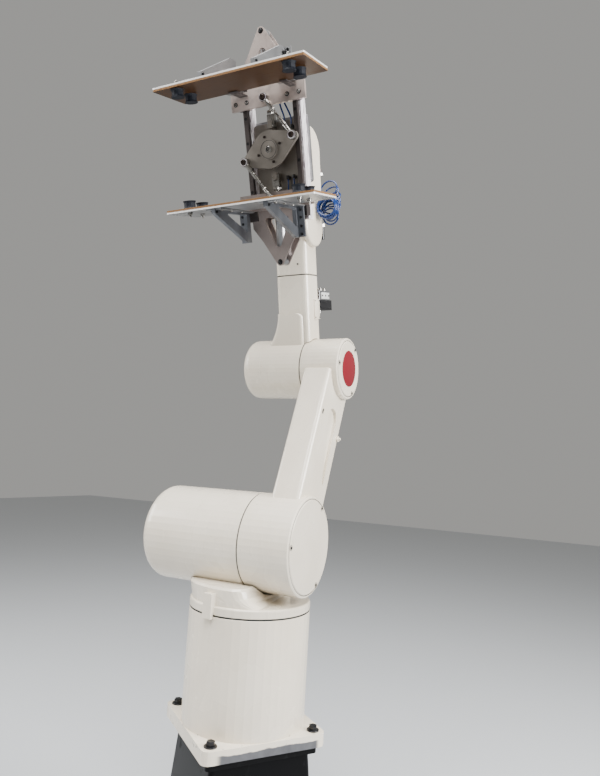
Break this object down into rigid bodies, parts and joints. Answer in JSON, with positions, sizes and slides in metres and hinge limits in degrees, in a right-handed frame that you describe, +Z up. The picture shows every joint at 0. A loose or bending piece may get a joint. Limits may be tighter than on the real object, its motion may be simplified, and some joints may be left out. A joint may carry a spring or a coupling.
{
  "type": "industrial robot arm with parallel clamp",
  "caption": "Cream six-axis industrial robot arm on a black steel pedestal, holding a crank-driven parallel clamp with two plywood jaws.",
  "frame": {"origin": "on the floor under the pedestal, on the base turning axis", "axes": "+Z up along the base turning axis; +X along the shoulder drum towards the upper arm's hub; -Y is where the arm reaches in the rest pose"},
  "size_m": [0.6481, 0.7774, 2.5883],
  "materials": {
    "cream_paint": "gloss cream enamel",
    "black_paint": "satin black",
    "aluminium": "milled",
    "grey_steel": "ground, warm grey",
    "bright_steel": "polished and zinc plated",
    "dark_steel": "oiled black",
    "rubber": "moulded",
    "blue_hose": "clear-coated polyurethane",
    "plywood": "film-faced plywood"
  },
  "bodies": {
    "base": {"pedestal": "black_paint", "base_casting": "cream_paint", "rear_connector_panel": "cream_paint"},
    "shoulder": {"shoulder_housing": "cream_paint", "shoulder_left_cover": "cream_paint"},
    "upper_arm": {"upper_arm": "cream_paint", "shoulder_cap": "cream_paint", "elbow_cap": "cream_paint"},
    "forearm": {"forearm_casting": "cream_paint", "elbow_left_cover": "cream_paint", "valve_plate": "dark_steel", "valve_block": "dark_steel", "valve_manifold": "aluminium"},
    "wrist_tube": {"wrist_tube": "cream_paint", "wrist_side_cover": "cream_paint", "lower_hose_fitting": "dark_steel", "upper_hose_fitting": "dark_steel", "spiral_hose": "blue_hose"},
    "wrist_head": {"wrist_head": "cream_paint"},
    "clamp_frame": {"tool_flange": "bright_steel", "adaptor_plate": "aluminium", "left_upright": "bright_steel", "right_upright": "bright_steel", "left_guide_rail": "dark_steel", "right_guide_rail": "dark_steel", "centre_plate": "grey_steel", "upper_cylinder_rod": "bright_steel", "lower_cylinder_rod": "bright_steel"},
    "upper_jaw": {"upper_crossbar": "aluminium", "upper_left_runner": "dark_steel", "upper_right_runner": "dark_steel", "upper_front_web": "grey_steel", "upper_rear_web": "grey_steel", "upper_cylinder": "aluminium", "upper_jaw_plate": "plywood", "upper_left_bracket": "aluminium", "upper_right_bracket": "aluminium", "upper_front_left_buffer": "rubber", "upper_rear_left_buffer": "rubber", "upper_front_right_buffer": "rubber", "upper_rear_right_buffer": "rubber"},
    "lower_jaw": {"lower_crossbar": "aluminium", "lower_left_runner": "dark_steel", "lower_right_runner": "dark_steel", "lower_front_web": "grey_steel", "lower_rear_web": "grey_steel", "lower_cylinder": "aluminium", "lower_jaw_plate": "plywood", "lower_left_bracket": "aluminium", "lower_right_bracket": "aluminium", "lower_front_left_buffer": "rubber", "lower_rear_left_buffer": "rubber", "lower_front_right_buffer": "rubber", "lower_rear_right_buffer": "rubber"},
    "crank": {"crank": "grey_steel"},
    "upper_link": {"upper_link": "bright_steel"},
    "lower_link": {"lower_link": "bright_steel"}
  },
  "joints": [
    {"name": "base_turn", "type": "hinge", "parent": "base", "child": "shoulder", "pos_m": [0, 0, 0.8565], "axis": [0, 0, 1], "range_deg": [-108, 212]},
    {"name": "shoulder_swing", "type": "hinge", "parent": "shoulder", "child": "upper_arm", "pos_m": [0, 0, 1.05], "axis": [1, 0, 0], "range_deg": [-86, 120]},
    {"name": "elbow_fold", "type": "hinge", "parent": "upper_arm", "child": "forearm", "pos_m": [0, 0.25022, 1.62273], "axis": [-1, 0, 0], "range_deg": [-85, 179]},
    {"name": "wrist_roll", "type": "hinge", "parent": "forearm", "child": "wrist_tube", "pos_m": [0.007, 0.17222, 1.94029], "axis": [0, -0.2385, 0.9711], "range_deg": [-270, 270]},
    {"name": "wrist_bend", "type": "hinge", "parent": "wrist_tube", "child": "wrist_head", "pos_m": [0.007, 0.07251, 2.34622], "axis": [1, 0, 0], "range_deg": [-200, 12]},
    {"name": "tool_spin", "type": "hinge", "parent": "wrist_head", "child": "clamp_frame", "pos_m": [0.007, 0.07251, 2.34622], "axis": [0, 0.9461, 0.3239], "range_deg": [-270, 270]},
    {"name": "jaw_slide", "type": "slide", "parent": "clamp_frame", "child": "upper_jaw", "axis": [0, -0.3239, 0.9461], "range_m": [-0.018, 0.027]},
    {"name": "lower_jaw_slide", "type": "slide", "parent": "clamp_frame", "child": "lower_jaw", "axis": [0, 0.3239, -0.9461], "range_m": [-0.018, 0.027]},
    {"name": "crank_turn", "type": "hinge", "parent": "clamp_frame", "child": "crank", "pos_m": [0.0454, -0.15228, 2.23808], "axis": [0, -0.9461, -0.3239], "range_deg": [-10.1, 15.1]},
    {"name": "upper_link_swing", "type": "hinge", "parent": "crank", "child": "upper_link", "pos_m": [0.1297, -0.16119, 2.2641], "axis": [0, -0.9461, -0.3239], "range_deg": [-18.9, 12.6]},
    {"name": "lower_link_swing", "type": "hinge", "parent": "crank", "child": "lower_link", "pos_m": [-0.0389, -0.14337, 2.21206], "axis": [0, -0.9461, -0.3239], "range_deg": [-18.9, 12.6]}
  ],
  "couplings": [
    {"joint": "lower_jaw_slide", "follows": "jaw_slide", "ratio": 1},
    {"joint": "crank_turn", "follows": "jaw_slide", "rad_per_m": 9.728},
    {"joint": "upper_link_swing", "follows": "jaw_slide", "rad_per_m": -12.16},
    {"joint": "lower_link_swing", "follows": "jaw_slide", "rad_per_m": -12.16}
  ]
}
